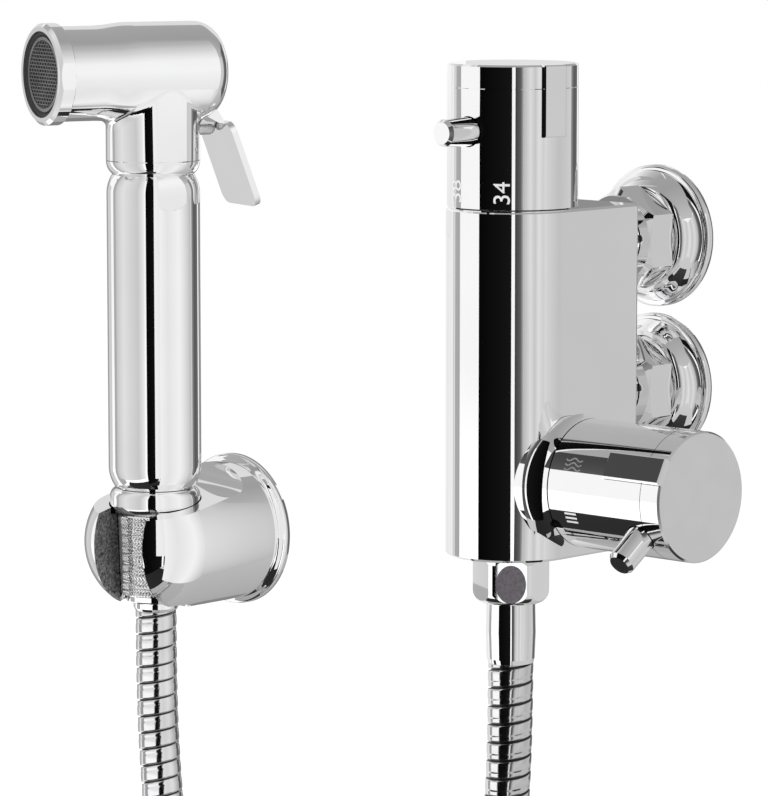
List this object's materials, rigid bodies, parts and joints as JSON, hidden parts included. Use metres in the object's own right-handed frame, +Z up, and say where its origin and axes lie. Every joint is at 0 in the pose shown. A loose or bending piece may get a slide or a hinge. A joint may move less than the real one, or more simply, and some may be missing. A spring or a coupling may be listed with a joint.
{
  "type": "thermostatic bidet shower",
  "caption": "Wall-mounted thermostatic mixer with side flow knob, hose and trigger hand spray resting in a wall holder.",
  "frame": {"origin": "on the wall plane, midway between the two water inlets", "axes": "+Y into the wall, -Y to the room, +X to the right, +Z up"},
  "size_m": [0.3067, 0.1261, 0.5053],
  "materials": {
    "chrome": "polished chrome plating on brass",
    "holder_chrome": "polished chrome outside, dark cast texture inside the slot",
    "hose_cover": "stainless steel spiral cover",
    "brass": "machined brass",
    "white_plastic": "moulded plastic",
    "copper": "copper capsule",
    "steel": "stainless steel",
    "ceramic": "polished ceramic",
    "rubber": "rubber",
    "black_plastic": "matte black plastic",
    "grey_rubber": "grey rubber"
  },
  "bodies": {
    "valve": {"valve_body": "chrome", "wall_flanges": "chrome", "wall_unions": "brass", "filter_washers": "rubber", "inlet_bushes": "brass", "union_nuts": "chrome", "check_valves": "white_plastic", "check_springs": "steel", "thermostatic_cartridge": "brass", "cartridge_o_rings": "rubber", "return_spring": "steel", "temp_stop_ring": "white_plastic", "flow_cartridge": "brass", "ceramic_disc_fixed": "ceramic", "outlet_nipple": "brass", "hose_nut_valve": "chrome", "hose_washer_valve": "rubber", "hose_ferrule_valve": "chrome", "hose_valve_drop": "hose_cover", "hose_loop": "hose_cover", "hose_ties": "black_plastic", "hose_handset_drop": "hose_cover", "holder_body": "holder_chrome", "holder_ring": "chrome", "holder_backplate": "brass", "holder_screws": "steel", "holder_grub_screw": "steel"},
    "temp_knob": {"temp_knob_sleeve": "chrome", "temp_knob_cap": "chrome", "temp_knob_bar": "chrome", "temp_knob_screw": "steel", "temp_spindle": "brass", "temp_button_spring": "steel"},
    "safety_button": {"safety_button": "chrome"},
    "mixing_piston": {"mixing_piston": "brass", "thermostat_element": "copper"},
    "flow_knob": {"flow_knob_sleeve": "chrome", "flow_knob_cap": "chrome", "flow_knob_bar": "chrome", "flow_knob_screw": "steel", "flow_spindle": "brass", "ceramic_disc_moving": "ceramic", "flow_button_spring": "steel"},
    "flow_button": {"flow_button": "chrome"},
    "check_poppet_cold": {"check_poppet_cold": "white_plastic"},
    "check_poppet_hot": {"check_poppet_hot": "white_plastic"},
    "hose_end": {"hose_ferrule_handset": "chrome"},
    "handset": {"spray_head": "chrome", "head_bezel": "chrome", "spray_plate": "black_plastic", "spray_seal": "grey_rubber", "neck_ring": "chrome", "grip_tube": "chrome", "bottom_connector": "chrome", "cone_nut": "chrome", "hose_washer_handset": "rubber", "trigger_pin": "steel", "valve_spring": "steel"},
    "trigger_lever": {"trigger_lever": "chrome"},
    "valve_stem": {"valve_stem": "steel"}
  },
  "joints": [
    {"name": "temp_knob_turn", "type": "hinge", "parent": "valve", "child": "temp_knob", "pos_m": [0, -0.074, 0.0393], "axis": [0, 0, 1], "range_deg": [-120, 138]},
    {"name": "safety_button_press", "type": "slide", "parent": "temp_knob", "child": "safety_button", "axis": [0, 1, 0], "range_m": [0, 0.0025], "stiffness_N_per_m": 800, "springref_m": -0.0005},
    {"name": "thermostat_slide", "type": "slide", "parent": "valve", "child": "mixing_piston", "axis": [0, 0, 1], "range_m": [-0.0016, 0.0016]},
    {"name": "flow_knob_turn", "type": "hinge", "parent": "valve", "child": "flow_knob", "pos_m": [0.0265, -0.065, -0.0497], "axis": [1, 0, 0], "range_deg": [0, 90]},
    {"name": "flow_button_press", "type": "slide", "parent": "flow_knob", "child": "flow_button", "axis": [0, 0.809, 0.5878], "range_m": [0, 0.0025], "stiffness_N_per_m": 800, "springref_m": -0.0005},
    {"name": "check_valve_cold", "type": "slide", "parent": "valve", "child": "check_poppet_cold", "axis": [0, -1, 0], "range_m": [0, 0.003], "stiffness_N_per_m": 60, "springref_m": -0.001},
    {"name": "check_valve_hot", "type": "slide", "parent": "valve", "child": "check_poppet_hot", "axis": [0, -1, 0], "range_m": [0, 0.003], "stiffness_N_per_m": 60, "springref_m": -0.001},
    {"name": "handset_lift", "type": "slide", "parent": "valve", "child": "hose_end", "axis": [0, 0, 1], "range_m": [0, 0.035]},
    {"name": "handset_swivel", "type": "hinge", "parent": "hose_end", "child": "handset", "pos_m": [-0.2041, -0.0415, -0.0856], "axis": [0, 0, 1], "range_deg": [-150, 150]},
    {"name": "trigger_press", "type": "hinge", "parent": "handset", "child": "trigger_lever", "pos_m": [-0.19792, -0.02248, 0.061], "axis": [-0.9511, 0.309, 0], "range_deg": [0, 12], "stiffness_Nm_per_rad": 0.6, "springref_deg": -8.59},
    {"name": "valve_stem_slide", "type": "slide", "parent": "handset", "child": "valve_stem", "axis": [-0.309, -0.9511, 0], "range_m": [0, 0.0018]}
  ],
  "couplings": [
    {"joint": "thermostat_slide", "follows": "temp_knob_turn", "m_per_rad": 0.0006366},
    {"joint": "valve_stem_slide", "follows": "trigger_press", "m_per_rad": 0.0085}
  ]
}
